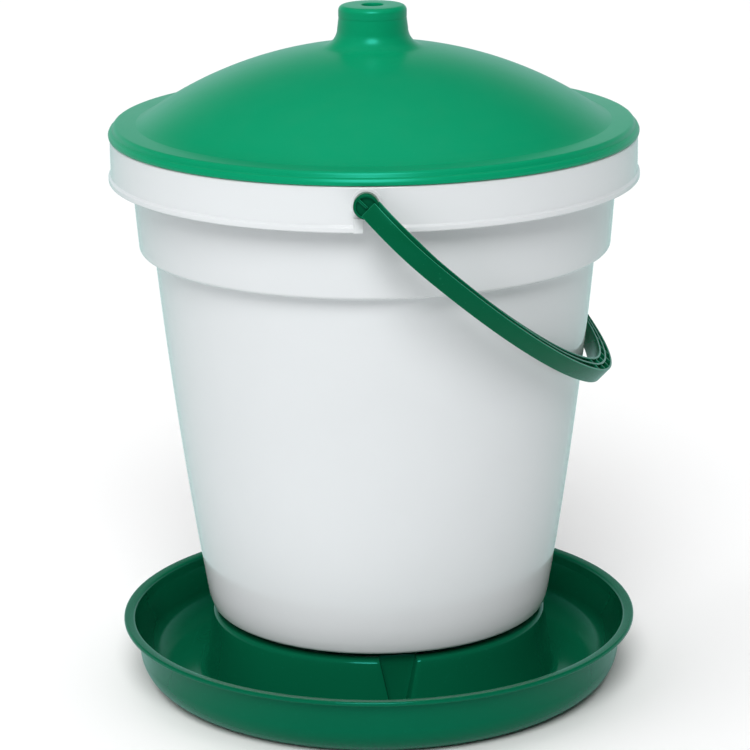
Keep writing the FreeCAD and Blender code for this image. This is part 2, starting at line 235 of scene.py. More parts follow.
def makeMouldedSkin():
    # faint orange peel, long ripples and a cloudy tint of a moulded plastic wall
    group, goesIn, goesOut = newGroup("mouldedSkin", [
        ("Peel", "NodeSocketFloat", 0.3), ("Ripple", "NodeSocketFloat", 0.5)],
        [("Height", "NodeSocketFloat"), ("Cloud", "NodeSocketFloat")])
    coords = group.nodes.new("ShaderNodeTexCoord")
    peel = addNode(group, "ShaderNodeTexNoise", Scale=1500.0, Detail=2.0)
    ripple = addNode(group, "ShaderNodeTexNoise", Scale=38.0, Detail=1.5)
    cloud = addNode(group, "ShaderNodeTexNoise", Scale=9.0, Detail=3.0, Roughness=0.6)
    for noise in (peel, ripple, cloud):
        group.links.new(coords.outputs["Object"], noise.inputs["Vector"])
    small = maths(group, "MULTIPLY", peel.outputs["Fac"], goesIn.outputs["Peel"])
    large = maths(group, "MULTIPLY", ripple.outputs["Fac"], goesIn.outputs["Ripple"])
    group.links.new(maths(group, "ADD", small, large), goesOut.inputs["Height"])
    group.links.new(ranged(group, cloud.outputs["Fac"], 0.3, 0.7, 0.0, 1.0), goesOut.inputs["Cloud"])
    return group


def makeHandling():
    # short fine scratches and rubbed patches, as a mask from 0 to 1
    group, goesIn, goesOut = newGroup("handling", [
        ("Amount", "NodeSocketFloat", 0.3), ("Density", "NodeSocketFloat", 40.0)],
        [("Scratches", "NodeSocketFloat"), ("Rubbed", "NodeSocketFloat")])
    coords = group.nodes.new("ShaderNodeTexCoord")
    total = None
    for turn in (0.4, 1.9):
        place = addNode(group, "ShaderNodeMapping")
        place.inputs["Rotation"].default_value = (turn, turn * 0.7, turn * 1.3)
        place.inputs["Scale"].default_value = (1.0, 0.06, 1.0)
        hair = addNode(group, "ShaderNodeTexNoise", Detail=2.0, Roughness=0.4)
        group.links.new(coords.outputs["Object"], place.inputs["Vector"])
        group.links.new(place.outputs["Vector"], hair.inputs["Vector"])
        group.links.new(maths(group, "MULTIPLY", goesIn.outputs["Density"], 9.0), hair.inputs["Scale"])
        line = ranged(group, hair.outputs["Fac"], 0.7, 0.74, 0.0, 1.0)
        total = line if total is None else maths(group, "MAXIMUM", total, line)
    patch = addNode(group, "ShaderNodeTexNoise", Detail=4.0, Roughness=0.65)
    group.links.new(coords.outputs["Object"], patch.inputs["Vector"])
    group.links.new(goesIn.outputs["Density"], patch.inputs["Scale"])
    rubbed = ranged(group, patch.outputs["Fac"], 0.52, 0.75, 0.0, 1.0)
    group.links.new(maths(group, "MULTIPLY", total, goesIn.outputs["Amount"]), goesOut.inputs["Scratches"])
    group.links.new(maths(group, "MULTIPLY", rubbed, goesIn.outputs["Amount"]), goesOut.inputs["Rubbed"])
    return group


def makeSettledDust():
    # fine pale dust that lies on upward faces in broken patches
    group, goesIn, goesOut = newGroup("settledDust", [("Amount", "NodeSocketFloat", 0.2)],
                                      [("Dust", "NodeSocketFloat")])
    coords = group.nodes.new("ShaderNodeTexCoord")
    shape = group.nodes.new("ShaderNodeNewGeometry")
    parts = group.nodes.new("ShaderNodeSeparateXYZ")
    group.links.new(shape.outputs["Normal"], parts.inputs[0])
    facingUp = ranged(group, parts.outputs["Z"], 0.35, 1.0, 0.0, 1.0)
    broken = addNode(group, "ShaderNodeTexNoise", Scale=60.0, Detail=8.0, Roughness=0.7)
    group.links.new(coords.outputs["Object"], broken.inputs["Vector"])
    patches = ranged(group, broken.outputs["Fac"], 0.45, 0.72, 0.0, 1.0)
    lying = maths(group, "MULTIPLY", facingUp, patches)
    group.links.new(maths(group, "MULTIPLY", lying, goesIn.outputs["Amount"]), goesOut.inputs["Dust"])
    return group


mouldedSkin = makeMouldedSkin()
handling = makeHandling()
settledDust = makeSettledDust()


# the pale edge colour is a painted highlight along rounded edges, mixed with pale handling wear
wearAndHighlightColours = {"dust": (0.42, 0.40, 0.35), "paleEdgeAndHighlight": (0.02, 0.30, 0.17)}
rubbedRough = 0.25  # roughness added where a surface is rubbed
dustRough = 0.5  # and where dust lies
bumpHeight = 0.3  # mm


def mouldedPlastic(name, look):
    material = bpy.data.materials.new(name)
    material.use_nodes = True
    tree = material.node_tree
    shader = tree.nodes["Principled BSDF"]
    skin = addNode(tree, "ShaderNodeGroup", node_tree=mouldedSkin)
    skin.inputs["Peel"].default_value = look["peel"]
    skin.inputs["Ripple"].default_value = look["ripple"]
    worn = addNode(tree, "ShaderNodeGroup", node_tree=handling)
    worn.inputs["Amount"].default_value = look["wear"]
    dust = addNode(tree, "ShaderNodeGroup", node_tree=settledDust)
    dust.inputs["Amount"].default_value = look["dust"]
    tint = addNode(tree, "ShaderNodeMix", data_type="RGBA")
    tint.inputs["A"].default_value = (*look["colour"], 1)
    tint.inputs["B"].default_value = (*look["cloudy"], 1)
    tree.links.new(skin.outputs["Cloud"], tint.inputs["Factor"])
    rubbed = addNode(tree, "ShaderNodeMix", data_type="RGBA")
    rubbed.inputs["B"].default_value = (*look["rubbed"], 1)
    tree.links.new(tint.outputs["Result"], rubbed.inputs["A"])
    tree.links.new(worn.outputs["Scratches"], rubbed.inputs["Factor"])
    colour = rubbed.outputs["Result"]
    if "edgeWearAndHighlight" in look:
        # edges paled by handling and lightened as a painted highlight along the rounded edges, from the
        # attribute that roundEdges paints
        edge = addNode(tree, "ShaderNodeAttribute", attribute_name="edgeWearAndHighlight")
        paledAndHighlighted = addNode(tree, "ShaderNodeMix", data_type="RGBA")
        paledAndHighlighted.inputs["B"].default_value = (*wearAndHighlightColours["paleEdgeAndHighlight"], 1)
        tree.links.new(colour, paledAndHighlighted.inputs["A"])
        amount = maths(tree, "MULTIPLY", edge.outputs["Fac"], look["edgeWearAndHighlight"])
        tree.links.new(amount, paledAndHighlighted.inputs["Factor"])
        colour = paledAndHighlighted.outputs["Result"]
    dusty = addNode(tree, "ShaderNodeMix", data_type="RGBA")
    dusty.inputs["B"].default_value = (*wearAndHighlightColours["dust"], 1)
    tree.links.new(colour, dusty.inputs["A"])
    tree.links.new(dust.outputs["Dust"], dusty.inputs["Factor"])
    tree.links.new(dusty.outputs["Result"], shader.inputs["Base Color"])
    base, spread = look["roughness"]
    rough = ranged(tree, skin.outputs["Cloud"], 0.0, 1.0, base, base + spread)
    rough = maths(tree, "ADD", rough, maths(tree, "MULTIPLY", worn.outputs["Rubbed"], rubbedRough))
    rough = maths(tree, "ADD", rough, maths(tree, "MULTIPLY", dust.outputs["Dust"], dustRough))
    tree.links.new(rough, shader.inputs["Roughness"])
    bump = tree.nodes.new("ShaderNodeBump")
    bump.inputs["Strength"].default_value = look["bump"]
    bump.inputs["Distance"].default_value = bumpHeight * mm
    tree.links.new(skin.outputs["Height"], bump.inputs["Height"])
    tree.links.new(bump.outputs["Normal"], shader.inputs["Normal"])
    shader.inputs["IOR"].default_value = look["ior"]
    shader.inputs["Specular Tint"].default_value = (*look["mirrorTint"], 1)
    shader.inputs["Coat Weight"].default_value = look["coat"]
    shader.inputs["Coat Roughness"].default_value = look["coatRoughness"]
    return material


plastics = {
    "lidGreen": {
        "colour": (0.002, 0.262, 0.113), "cloudy": (0.002, 0.275, 0.122), "rubbed": (0.02, 0.34, 0.19),
        "mirrorTint": (0.1, 1.0, 0.9), "ior": 1.47, "roughness": (0.27, 0.04),
        "peel": 0.25, "ripple": 0.6, "bump": 0.08, "wear": 0.08, "dust": 0.008,
        "coat": 0.0, "coatRoughness": 0.1,
    },
    "bailGreen": {
        "colour": (0.0015, 0.084, 0.034), "cloudy": (0.0015, 0.092, 0.039), "rubbed": (0.02, 0.22, 0.12),
        "mirrorTint": (0.04, 0.5, 0.38), "ior": 1.36, "roughness": (0.2, 0.05),
        "peel": 0.3, "ripple": 0.4, "bump": 0.1, "wear": 0.14, "dust": 0.0,
        # the edge amount lightens the bail's rounded edges: a painted highlight with some wear
        "coat": 0.0, "coatRoughness": 0.1, "edgeWearAndHighlight": 0.55,
    },
    "trayGreen": {
        "colour": (0.0015, 0.098, 0.044), "cloudy": (0.0015, 0.106, 0.048), "rubbed": (0.01, 0.2, 0.11),
        "mirrorTint": (0.08, 0.9, 0.8), "ior": 1.4, "roughness": (0.11, 0.04),
        "peel": 0.2, "ripple": 0.7, "bump": 0.06, "wear": 0.1, "dust": 0.0,
        "coat": 0.0, "coatRoughness": 0.1,
    },
    "bucketWhite": {
        "colour": (0.69, 0.71, 0.725), "cloudy": (0.675, 0.695, 0.71), "rubbed": (0.6, 0.62, 0.63),
        "mirrorTint": (1.0, 1.0, 1.0), "ior": 1.4, "roughness": (0.09, 0.03),
        "peel": 0.1, "ripple": 0.8, "bump": 0.04, "wear": 0.06, "dust": 0.0,
        "coat": 0.2, "coatRoughness": 0.05,
    },
    "naturalWhite": {
        "colour": (0.72, 0.71, 0.66), "cloudy": (0.69, 0.68, 0.63), "rubbed": (0.6, 0.58, 0.52),
        "mirrorTint": (1.0, 1.0, 1.0), "ior": 1.49, "roughness": (0.38, 0.08),
        "peel": 0.5, "ripple": 0.4, "bump": 0.12, "wear": 0.15, "dust": 0.08,
        "coat": 0.0, "coatRoughness": 0.1,
    },
    "blackNylon": {
        "colour": (0.012, 0.012, 0.013), "cloudy": (0.018, 0.018, 0.019), "rubbed": (0.08, 0.08, 0.08),
        "mirrorTint": (1.0, 1.0, 1.0), "ior": 1.53, "roughness": (0.42, 0.08),
        "peel": 0.8, "ripple": 0.3, "bump": 0.2, "wear": 0.2, "dust": 0.04,
        "coat": 0.0, "coatRoughness": 0.1,
    },
}
finishes = {name: mouldedPlastic(name, look) for name, look in plastics.items()}


def zincSteel():
    material = bpy.data.materials.new("zincSteel")
    material.use_nodes = True
    tree = material.node_tree
    shader = tree.nodes["Principled BSDF"]
    coords = tree.nodes.new("ShaderNodeTexCoord")
    spangle = addNode(tree, "ShaderNodeTexVoronoi", Scale=420.0)
    worn = addNode(tree, "ShaderNodeGroup", node_tree=handling)
    worn.inputs["Amount"].default_value = 0.5
    worn.inputs["Density"].default_value = 120.0
    tree.links.new(coords.outputs["Object"], spangle.inputs["Vector"])
    tint = addNode(tree, "ShaderNodeMix", data_type="RGBA")
    tint.inputs["A"].default_value = (0.55, 0.56, 0.57, 1)
    tint.inputs["B"].default_value = (0.66, 0.66, 0.64, 1)
    tree.links.new(spangle.outputs["Distance"], tint.inputs["Factor"])
    tree.links.new(tint.outputs["Result"], shader.inputs["Base Color"])
    rough = ranged(tree, spangle.outputs["Distance"], 0.0, 0.6, 0.28, 0.38)
    rough = maths(tree, "ADD", rough, maths(tree, "MULTIPLY", worn.outputs["Rubbed"], 0.2))
    tree.links.new(rough, shader.inputs["Roughness"])
    shader.inputs["Metallic"].default_value = 1.0
    return material


finishes["zincSteel"] = zincSteel()
print("materials ready")


lidShape = {
    "wall": 2.5, "socketR": 7.25, "socketDepth": 19.0,
    "knobR": 22.6, "knobRound": 5.4, "knobStepDown": 8.0, "knobRootR": 23.3, "fillet": 13.0,
    "domeR": 268.0, "domeCentreUp": -293.5, "domeEdgeR": 153.0, "domeRows": 26, "underRows": 22,
    "ledgeDown": 75.5, "ledgeInR": 156.6, "ledgeOutR": 172.2, "shoulderR": 173.3,
    "lipR": 176.0, "lipDown": 8.3, "plugR": 157.8, "plugDown": 94.0,
}


def domeArc(radius, centreZ, fromDeg, toDeg, steps):
    # angles are counted from straight up
    return arcLine(0, centreZ, radius, 90 - fromDeg, 90 - toDeg, steps)


def buildLid(s):
    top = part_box("lid")[1].z / mm
    ledge = top - s["ledgeDown"]
    centre = top + s["domeCentreUp"]
    seat = ledge - s["lipDown"]
    wall, socketR, knobR, lipR = s["wall"], s["socketR"], s["knobR"], s["lipR"]
    shoulderR, plugR = s["shoulderR"], s["plugR"]
    filletX = s["knobRootR"] + s["fillet"]
    filletZ = centre + math.sqrt((s["domeR"] + s["fillet"]) ** 2 - filletX ** 2)
    meetAngle = math.degrees(math.atan2(filletX, filletZ - centre))
    endAngle = math.degrees(math.asin(s["domeEdgeR"] / s["domeR"]))
    step = top - s["knobStepDown"]
    line = [(0, top - s["socketDepth"]), (socketR, top - s["socketDepth"], 1.0), (socketR, top - 0.4, 0.4),
            (socketR + 0.5, top, 0.5), (knobR, top, s["knobRound"]), (knobR, step + 0.7, 0.4),
            (knobR - 0.15, step + 0.2, 0.4), (knobR - 0.05, step - 1.0, 0.6)]
    line += arcLine(filletX, filletZ, s["fillet"], 180, 270 - meetAngle, 9)
    line += domeArc(s["domeR"], centre, meetAngle, endAngle, s["domeRows"])[1:]
    line += [(s["ledgeInR"] + 1.0, ledge, 1.0), (s["ledgeOutR"], ledge, 3.0), (shoulderR, ledge - 3.6, 0.7),
             (shoulderR + 1.7, ledge - 4.1, 1.0), (lipR, ledge - 6.3, 1.3), (lipR - 0.3, seat, 0.5),
             (shoulderR - 0.7, seat, 0.4), (shoulderR - wall, ledge - wall - 1.0, 1.0)]
    line += [(plugR, ledge - wall, 0.8), (plugR - 0.5, top - s["plugDown"], 0.8),
             (plugR - wall, top - s["plugDown"], 0.8)]
    inner = s["domeR"] - wall
    rootR = knobR - wall - 0.8
    innerEnd = math.degrees(math.asin((plugR - wall) / inner))
    innerStart = math.degrees(math.asin((rootR + 9) / inner))
    line += domeArc(inner, centre, innerEnd, innerStart, s["underRows"])
    line += [(rootR, filletZ - 6, 8.0), (rootR - 0.5, top - wall - 1.0, 2.0),
             (socketR + wall, top - wall - 1.0, 1.0), (socketR + wall, top - s["socketDepth"] - wall, 1.5),
             (0, top - s["socketDepth"] - wall)]
    lid = looseObject(turnedMesh(roundedLine(line, False), False), "lidMoulding")
    return finishPiece(lid, "lidMoulding", "lid", ["lid"], finishes["lidGreen"])


buildLid(lidShape)


bucketShape = {
    "wall": 2.5, "bottom": 53.0, "floor": 56.0, "footR": 112.0, "lowR": 117.3, "lowZ": 62.0, "midR": 135.3,
    "midZ": 188.0, "topR": 147.8, "bandZ": 305.0, "bandLowR": 157.5, "bandTopR": 161.0, "flangeZ": 352.0,
    "flangeR": 176.5, "flangeTall": 4.5, "rimR": 175.0, "rimWallR": 162.0, "boltR": 4.3,
    "windows": 6, "windowInR": 74.0, "windowOutR": 102.0, "windowAngle": 40.0, "windowSteps": 20,
    "pivotZ": 370.4, "holeR": 3.0, "bossR": 9.6, "bossY": 175.7, "earY": 176.4,
    "slotWide": 4.4, "ribWide": 6.0, "ribTopZ": 361.0,
}


def bucketOutline(s):
    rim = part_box("bucket")[1].z / mm
    wall = s["wall"]

    def bodyR(z):
        t = (z - s["lowZ"]) / (s["bandZ"] - s["lowZ"])
        tMid = (s["midZ"] - s["lowZ"]) / (s["bandZ"] - s["lowZ"])
        rise = s["topR"] - s["lowR"]
        belly = s["midR"] - s["lowR"] - rise * tMid
        return s["lowR"] + rise * t + 4 * belly * t * (1 - t)

    levels = [s["lowZ"] + (s["bandZ"] - s["lowZ"]) * k / 24 for k in range(25)]
    line = [(s["boltR"], s["floor"]), (s["footR"] - 6, s["floor"], 2.0), (s["footR"] - 4, s["bottom"], 1.0),
            (s["footR"] + 2.2, s["bottom"], 5.0)]
    line += [(bodyR(z), z) for z in levels[:-1]]
    line += [(s["topR"], s["bandZ"] - 0.2, 1.2), (s["bandLowR"], s["bandZ"], 2.6)]
    bandRise = (s["flangeZ"] - s["bandZ"] - 2) / 4
    bandSpread = (s["bandTopR"] - s["bandLowR"]) / 4
    line += [(s["bandLowR"] + bandSpread * k, s["bandZ"] + bandRise * k) for k in (1, 2, 3)]
    line += [(s["bandTopR"], s["flangeZ"] - 2, 3.0), (s["rimWallR"], rim - wall, 1.5),
             (s["rimR"] - wall, rim - wall, 1.5), (s["rimR"] - wall, s["flangeZ"], 0.5),
             (s["flangeR"], s["flangeZ"], 0.9), (s["flangeR"], s["flangeZ"] + s["flangeTall"] - 1.0, 1.3),
             (s["rimR"], s["flangeZ"] + s["flangeTall"], 1.2), (s["rimR"], rim, 1.8),
             (s["rimWallR"] - wall, rim, 2.0), (s["bandTopR"] - wall, s["flangeZ"] - 2, 3.0),
             (s["bandLowR"] - wall, s["bandZ"] + wall, 2.0), (s["topR"] - wall, s["bandZ"] + wall, 2.0)]
    line += [(bodyR(z) - wall, z) for z in reversed(levels[:-1])]
    line += [(s["footR"] - 0.5, s["floor"] + wall, 3.0), (s["boltR"], s["floor"] + wall)]
    return roundedLine(line, True)


def windowMesh(s, turn):
    # curved slot through the floor: a short arc of outline spun over the window's angle
    bm = bmesh.new()
    r0, r1 = s["windowInR"] * mm, s["windowOutR"] * mm
    z0, z1 = (s["bottom"] - 1) * mm, (s["floor"] + s["wall"] + 1) * mm
    ring = [bm.verts.new(p) for p in ((r0, 0, z0), (r1, 0, z0), (r1, 0, z1), (r0, 0, z1))]
    bm.faces.new(ring)
    half = math.radians(s["windowAngle"] / 2)
    bmesh.ops.rotate(bm, cent=(0, 0, 0), matrix=Matrix.Rotation(turn - half, 3, "Z"), verts=bm.verts)
    bmesh.ops.spin(bm, geom=bm.faces[:], cent=(0, 0, 0), axis=(0, 0, 1), dvec=(0, 0, 0), angle=2 * half,
                   steps=s["windowSteps"], use_merge=False, use_duplicate=True)
    bmesh.ops.remove_doubles(bm, verts=bm.verts, dist=mergeGap * mm)
    bmesh.ops.recalc_face_normals(bm, faces=bm.faces)
    return bm


def buildBucket(s):
    bucket = looseObject(turnedMesh(bucketOutline(s), True), "bucketMoulding")
    tools = []
    half = s["slotWide"] / 2
    for side in (-1, 1):
        back, front = side * (s["rimR"] - s["wall"] - 1.5), side * s["earY"]
        boss = rodMesh(s["bossR"], back, side * s["bossY"], "Y", bevel=0.7)
        moveMesh(boss, 0, 0, s["pivotZ"])
        low, high = sorted((back, front))
        ribs = boxMesh((-half - s["ribWide"], low, s["flangeZ"]), (half + s["ribWide"], high, s["ribTopZ"]))
        standing = [e for e in ribs.edges if abs(e.verts[0].co.z - e.verts[1].co.z) > mm]
        bevelEdges(ribs, standing, 0.6, 3)
        start, end = back - side * 4, front + side * 6  # the cutters pass right through the rim's skirt
        hole = rodMesh(s["holeR"], start, end, "Y")
        moveMesh(hole, 0, 0, s["pivotZ"])
        slot = boxMesh((-half, min(start, end), s["flangeZ"] - 8), (half, max(start, end), s["pivotZ"]))
        tools += [("UNION", boss), ("UNION", ribs), ("DIFFERENCE", slot), ("DIFFERENCE", hole)]
    for k in range(s["windows"]):
        tools.append(("DIFFERENCE", windowMesh(s, math.tau * (k + 0.5) / s["windows"])))
    carve(bucket, tools)
    return finishPiece(bucket, "bucketMoulding", "root", ["bucket"],
                       finishes["bucketWhite"])


buildBucket(bucketShape)


trayShape = {
    "wall": 2.5, "rimR": 176.6, "height": 45.0, "lipWide": 7.6, "lipTall": 3.0, "wallTopR": 171.0,
    "bendZ": 23.0, "baseR": 143.0, "seatZ": 49.0, "seatOutR": 114.7, "seatInR": 103.0,
    "seatDraft": math.tan(math.radians(7.5)), "wellDraft": 0.09,
    "bossZ": 40.0, "bossTopR": 24.0, "bossFootR": 31.0, "boltR": 4.3,
    "notches": (-82, 38, 158), "notchTopHalf": 12.3, "notchSlope": 0.205, "notchFloor": 4.0,
    "outletWide": 6.4, "outletTall": 11.0, "columns": 360,
}


ringFootReach = 9  # mm from the ring's foot out to where its outline starts in the trough
ringTopFlat = 3.4  # mm of flat at the inner edge of the ring's top
wellReach = 20  # mm out from the pedestal's foot, past which the well's floor counts as ring


def trayOutline(s):
    wall, top = s["wall"], s["height"]
    foot = s["seatOutR"] + (s["seatZ"] - wall) * s["seatDraft"]
    wellR = s["seatInR"] - (s["seatZ"] - wall) * s["wellDraft"]
    outside = [(foot - wall, 0, 0.6), (s["baseR"] - 10, 0), (s["baseR"], 0)]
    outside += arcLine(s["baseR"], s["bendZ"], s["bendZ"], -84, 0, 14)
    outside += [(s["wallTopR"], top - s["lipTall"], 0.5), (s["rimR"] - 0.2, top - s["lipTall"], 0.9),
                (s["rimR"], top, 1.3), (s["rimR"] - s["lipWide"], top - 0.5, 2.2),
                (s["wallTopR"] - wall - 0.7, top - 7.5, 4.0)]
    outside += arcLine(s["baseR"], s["bendZ"], s["bendZ"] - wall, 0, -90, 14)
    rise = (s["seatZ"] - 12) / 8
    seatWall = [(foot - (8 + rise * k - wall) * s["seatDraft"], 8 + rise * k) for k in range(1, 8)]
    seat = [(foot + ringFootReach, wall), (foot, wall, 5.5)] + seatWall
    seat += [(s["seatOutR"], s["seatZ"], 3.0), (s["seatInR"] + ringTopFlat, s["seatZ"]),
             (s["seatInR"], s["seatZ"], 1.5)]
    well = [(s["seatInR"] - 20 * s["wellDraft"], s["seatZ"] - 20), (wellR, wall, 2.0),
            (s["bossFootR"], wall, 3.0), (s["bossTopR"], s["bossZ"], 2.0), (s["boltR"], s["bossZ"]),
            (s["boltR"], s["bossZ"] - wall), (s["bossTopR"] - wall, s["bossZ"] - wall, 1.0),
            (s["bossFootR"] - wall, 0, 0.6), (wellR + wall, 0, 0.6),
            (s["seatInR"] + wall, s["seatZ"] - wall, 1.0),
            (s["seatOutR"] - wall - 0.5, s["seatZ"] - wall, 1.0)]
    return roundedLine(outside + seat + well, True)


def pathLengths(points):
    total = [0.0]
    for a, b in zip(points, points[1:]):
        total.append(total[-1] + (b - a).length)
    return [t / total[-1] for t in total]


def alongPath(points, t):
    marks = pathLengths(points)
    for a, b, m0, m1 in zip(points, points[1:], marks, marks[1:]):
        if t <= m1:
            return a.lerp(b, (t - m0) / (m1 - m0))
    return points[-1].copy()


def notchColumn(k, half):
    # where column k of the mesh goes, as mm round the ring from the notch's middle, and how deep from 0 to 1
    edge = [(half - 1.5, 1.0), (half - 0.45, 0.97), (half - 0.1, 0.9), (half + 0.1, 0.1),
            (half + 0.6, 0.03), (half + 1.5, 0.0)]
    side = 1 if k >= 0 else -1
    k = abs(k)
    if k <= 3:
        return side * (half - 1.5) * k / 4, 1.0
    if k <= 9:
        reach, depth = edge[k - 4]
        return side * reach, depth
    return None, 0.0


def sinkNotches(bm, s, outline):
    # slides the ring's columns to the notch edges and drops them into a V-shaped pocket
    wall = s["wall"]
    foot = s["seatOutR"] + (s["seatZ"] - wall) * s["seatDraft"]
    backR = s["seatInR"] + wall
    tree = kdtree.KDTree(len(outline))
    for i, p in enumerate(outline):
        tree.insert((p.x, p.y, 0), i)
    tree.balance()
    startRow = tree.find((foot + ringFootReach, wall, 0))[1]
    topRow = tree.find((s["seatInR"] + ringTopFlat, s["seatZ"], 0))[1]
    boltRow = tree.find((s["boltR"], s["bossZ"], 0))[1]
    nearestR = s["bossFootR"] + wellReach
    wellRow = max(i for i, p in enumerate(outline)
                  if topRow < i < boltRow and p.x > nearestR and p.y > wall - 0.1)
    under = [i for i, p in enumerate(outline) if i > wellRow and p.x > nearestR]
    under.append(0)
    seatRows = list(range(startRow, topRow + 1))
    pocket = roundedLine([(foot + ringFootReach, wall), (foot - 1, s["notchFloor"], 6.0),
                          (backR, s["notchFloor"], 1.2), (backR, s["seatZ"], 0.9), (backR - 1.0, s["seatZ"])],
                         False)
    marks = pathLengths([outline[i] for i in seatRows])
    target = {i: alongPath(pocket, t) for i, t in zip(seatRows, marks)}
    underMarks = pathLengths([outline[i % len(outline)] for i in under])
    ceiling = {i: Vector((outline[under[0]].x + (outline[0].x - outline[under[0]].x) * t, 0.8))
               for i, t in zip(under, underMarks)}
    ceiling[under[0]].y = 0.0
    ceiling[under[-1]].y = 0.0
    stepAngle = math.tau / s["columns"]
    for vert in bm.verts:
        r, z = vert.co.xy.length / mm, vert.co.z / mm
        if r < nearestR or r > foot + ringFootReach + 0.5:
            continue
        row = tree.find((r, z, 0))[1]
        isUnder = row in ceiling
        if not (isUnder or startRow <= row <= wellRow):
            continue
        angle = math.degrees(math.atan2(vert.co.y, vert.co.x))
        for middle in s["notches"]:
            off = (angle - middle + 180) % 360 - 180
            k = round(off)
            if abs(k) > 15:
                continue
            goal = ceiling.get(row) if isUnder else target.get(row)
            spare = wall if isUnder else 0.0

            def halfAt(height):
                return s["notchTopHalf"] - (s["seatZ"] - height) * s["notchSlope"] + spare

            here = Vector((r, z))
            u, depth = notchColumn(k, halfAt(z))
            if u is None:
                limit = halfAt(z) + 1.5
                natural = 16 * stepAngle * r
                u = math.copysign(limit + (natural - limit) * (abs(k) - 9) / 7, k)
            elif goal is not None and depth > 0:
                here = here.lerp(goal, depth)
                u = notchColumn(k, halfAt(here.y))[0]
            turn = math.radians(middle) + u / max(here.x, 1.0)
            vert.co = Vector((math.cos(turn) * here.x, math.sin(turn) * here.x, here.y)) * mm


trayNodes = ["tray", "well_floor", "feed_notch_1", "feed_notch_2", "feed_notch_3",
             "seat_arc_1", "seat_arc_2", "seat_arc_3", "seat_arc_4", "seat_arc_5", "seat_arc_6"]


def buildTray(s):
    outline = trayOutline(s)
    bm = turnedMesh(outline, True, s["columns"])
    sinkNotches(bm, s, outline)
    bmesh.ops.recalc_face_normals(bm, faces=bm.faces)
    tray = looseObject(bm, "trayMoulding")
    tools = []
    for middle in s["notches"]:
        half = s["outletWide"] / 2 - 0.3
        low = (s["seatInR"] - 8, -half, s["notchFloor"] + 0.2)
        hole = boxMesh(low, (s["seatInR"] + s["wall"] + 4, half, s["notchFloor"] + s["outletTall"]))
        turnMesh(hole, middle, "Z")
        tools.append(("DIFFERENCE", hole))
    carve(tray, tools)
    return finishPiece(tray, "trayMoulding", "root", trayNodes, finishes["trayGreen"])


buildTray(trayShape)


bailShape = {
    "hang": 44.2, "reach": 217.0, "gripRadius": 153.0, "sideRadius": 246.0, "shoulderRadius": 68.0,
    "gripAngle": 26.0, "sideAngle": 72.0, "endAngle": 120.0, "wide": 11.6, "thick": 1.5, "web": 1.8,
    "outerInset": (0.12, 0.0), "midInset": (3.4, 5.4), "innerInset": (5.6, 10.4), "midLift": 2.2,
    "ribAngles": (3.5, 10.5, 17.5, 24.5), "steps": 96,
    "discR": 8.0, "discIn": 177.2, "discOut": 185.6, "studR": 2.9, "studEnd": 167.0, "collarR": 3.6,
    "pivotZ": 370.4,
}


def bailPoint(s, angle, inset):
    side, angle = (1 if angle >= 0 else -1), abs(angle)
    centre = Vector((s["reach"] - s["gripRadius"], 0))
    radius = s["gripRadius"]
    for limit, nextRadius in ((s["gripAngle"], s["sideRadius"]), (s["sideAngle"], s["shoulderRadius"])):
        if angle > limit:
            a = math.radians(limit)
            centre = centre + Vector((math.cos(a), math.sin(a))) * (radius - nextRadius)
            radius = nextRadius
    a = math.radians(angle)
    p = centre + Vector((math.cos(a), math.sin(a))) * (radius - inset)
    return Vector((p.x, side * p.y))


def insetAt(s, angle, insets):
    t = min(1.0, max(0.0, (abs(angle) - s["gripAngle"]) / (s["endAngle"] - s["gripAngle"])))
    return insets[1] + (insets[0] - insets[1]) * t


def bailAngles(s):
    steps = s["steps"]
    return [-s["endAngle"] + 2 * s["endAngle"] * k / steps for k in range(steps + 1)]


def bailRibbon(s, insets, lift, thick):
    # two rows of edges along the bail, bridged into a band, then given its thickness
    bm = bmesh.new()
    chains = []
    for side in (-1, 1):
        verts = []
        for angle in bailAngles(s):
            p = bailPoint(s, angle, insetAt(s, angle, insets) + thick / 2)
            extra = lift * min(1.0, max(0.0, (abs(angle) - 40) / 50)) if side > 0 else 0.0
            verts.append(bm.verts.new((p.x * mm, p.y * mm, (side * s["wide"] / 2 + extra) * mm)))
        chains += [bm.edges.new(pair) for pair in zip(verts, verts[1:])]
    bmesh.ops.bridge_loops(bm, edges=chains)
    bmesh.ops.recalc_face_normals(bm, faces=bm.faces)
    thicken(bm, thick)
    roundEdges(bm, 0.35)
    return bm


def thicken(bm, thick):
    # half the thickness to each side of the sheet
    bm.normal_update()
    for vert in bm.verts:
        vert.co -= vert.normal * thick / 2 * mm
    bmesh.ops.solidify(bm, geom=bm.faces[:], thickness=-thick * mm)
    bmesh.ops.recalc_face_normals(bm, faces=bm.faces)


def roundEdges(bm, offset, segments=2):
    # marks the bevelled faces for the pale edge colour, a painted highlight along the edges with some wear
    worn = bm.faces.layers.float.get("edgeWearAndHighlight") or bm.faces.layers.float.new("edgeWearAndHighlight")
    rounded = bevelEdges(bm, bentEdges(bm), offset, segments)
    for face in rounded["faces"]:
        face[worn] = 1.0


def bailWeb(s):
    bm = bmesh.new()
    chains = []
    for insets in ((0.6, 0.6), (s["innerInset"][0] + 0.8, s["innerInset"][1] + 0.8)):
        verts = []
        for angle in bailAngles(s):
            p = bailPoint(s, angle, insetAt(s, angle, insets))
            verts.append(bm.verts.new((p.x * mm, p.y * mm, 0)))
        chains += [bm.edges.new(pair) for pair in zip(verts, verts[1:])]
    bmesh.ops.bridge_loops(bm, edges=chains)
    bmesh.ops.recalc_face_normals(bm, faces=bm.faces)
    thicken(bm, s["web"])
    return bm


